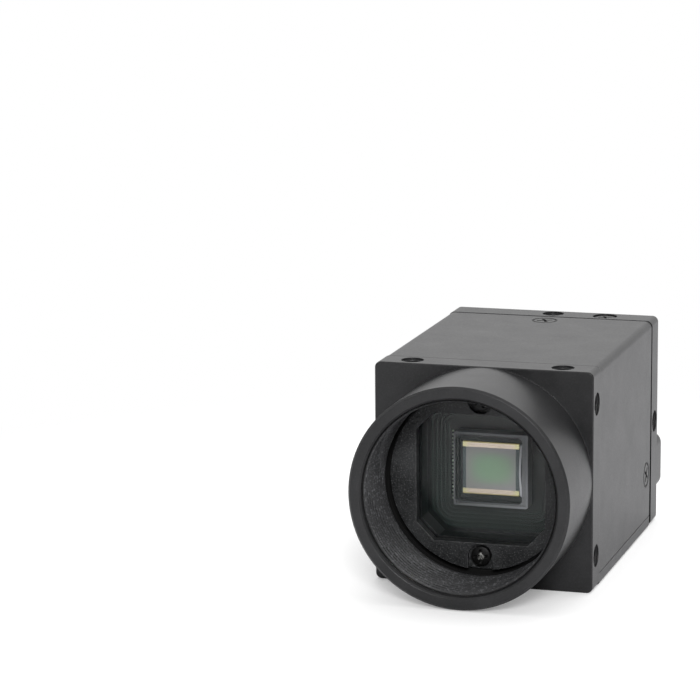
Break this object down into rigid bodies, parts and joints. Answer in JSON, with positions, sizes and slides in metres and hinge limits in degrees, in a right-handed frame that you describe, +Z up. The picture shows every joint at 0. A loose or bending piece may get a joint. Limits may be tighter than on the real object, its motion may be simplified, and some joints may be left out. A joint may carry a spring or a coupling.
{
  "type": "machine vision camera",
  "caption": "Small square machine vision camera with a threaded lens mount in front, and a network jack and a round threaded power connector at the rear.",
  "frame": {"origin": "bottom centre of the whole camera, on the surface that it stands on", "axes": "+Y from the lens mount to the connectors, +Z up, +X to the right of someone who looks into the lens mount"},
  "size_m": [0.029, 0.0594, 0.029],
  "materials": {
    "black_anodised": "bead-blasted and black anodised, satin",
    "black_frame": "moulded, fine matt",
    "black_screw": "blackened steel",
    "clear_glass": "polished, infrared-cut coating",
    "grey_ceramic": "fired ceramic",
    "sensor_silicon": "polished silicon with a colour sheen",
    "board_green": "dark green solder mask",
    "seal_rubber": "soft foam rubber",
    "spacer_brass": "nickel-plated brass",
    "black_plastic": "moulded plastic",
    "bare_aluminium": "plain rolled sheet",
    "ferrite": "sintered ferrite",
    "tinned_steel": "tin-plated sheet",
    "gold_contact": "gold-plated",
    "plated_shell": "nickel-plated, turned"
  },
  "bodies": {
    "root": {"front_housing": "black_anodised", "top_cover": "black_anodised", "base_cover": "black_anodised", "rear_plate": "black_anodised", "filter_frame": "black_frame", "filter_frame_screws": "black_screw", "cover_screws": "black_screw", "base_screws": "black_screw", "connector_lock_screw": "black_screw", "board_screws": "black_screw", "filter_glass": "clear_glass", "sensor_cover_glass": "clear_glass", "sensor_package": "grey_ceramic", "sensor_die": "sensor_silicon", "sensor_board": "board_green", "processing_board": "board_green", "interface_board": "board_green", "dust_seal": "seal_rubber", "thermal_pad": "seal_rubber", "front_standoffs": "spacer_brass", "rear_standoffs": "spacer_brass", "sensor_link_plug": "black_plastic", "sensor_link_socket": "black_plastic", "interface_link_plug": "black_plastic", "interface_link_socket": "black_plastic", "processor": "black_plastic", "memory_chip": "black_plastic", "flash_chip": "black_plastic", "network_transformer": "black_plastic", "network_chip": "black_plastic", "network_jack_body": "black_plastic", "power_connector_insert": "black_plastic", "heat_spreader": "bare_aluminium", "power_inductor": "ferrite", "network_jack_shield": "tinned_steel", "network_jack_contacts": "gold_contact", "power_connector_pins": "gold_contact", "power_connector_shell": "plated_shell"}
  },
  "joints": []
}
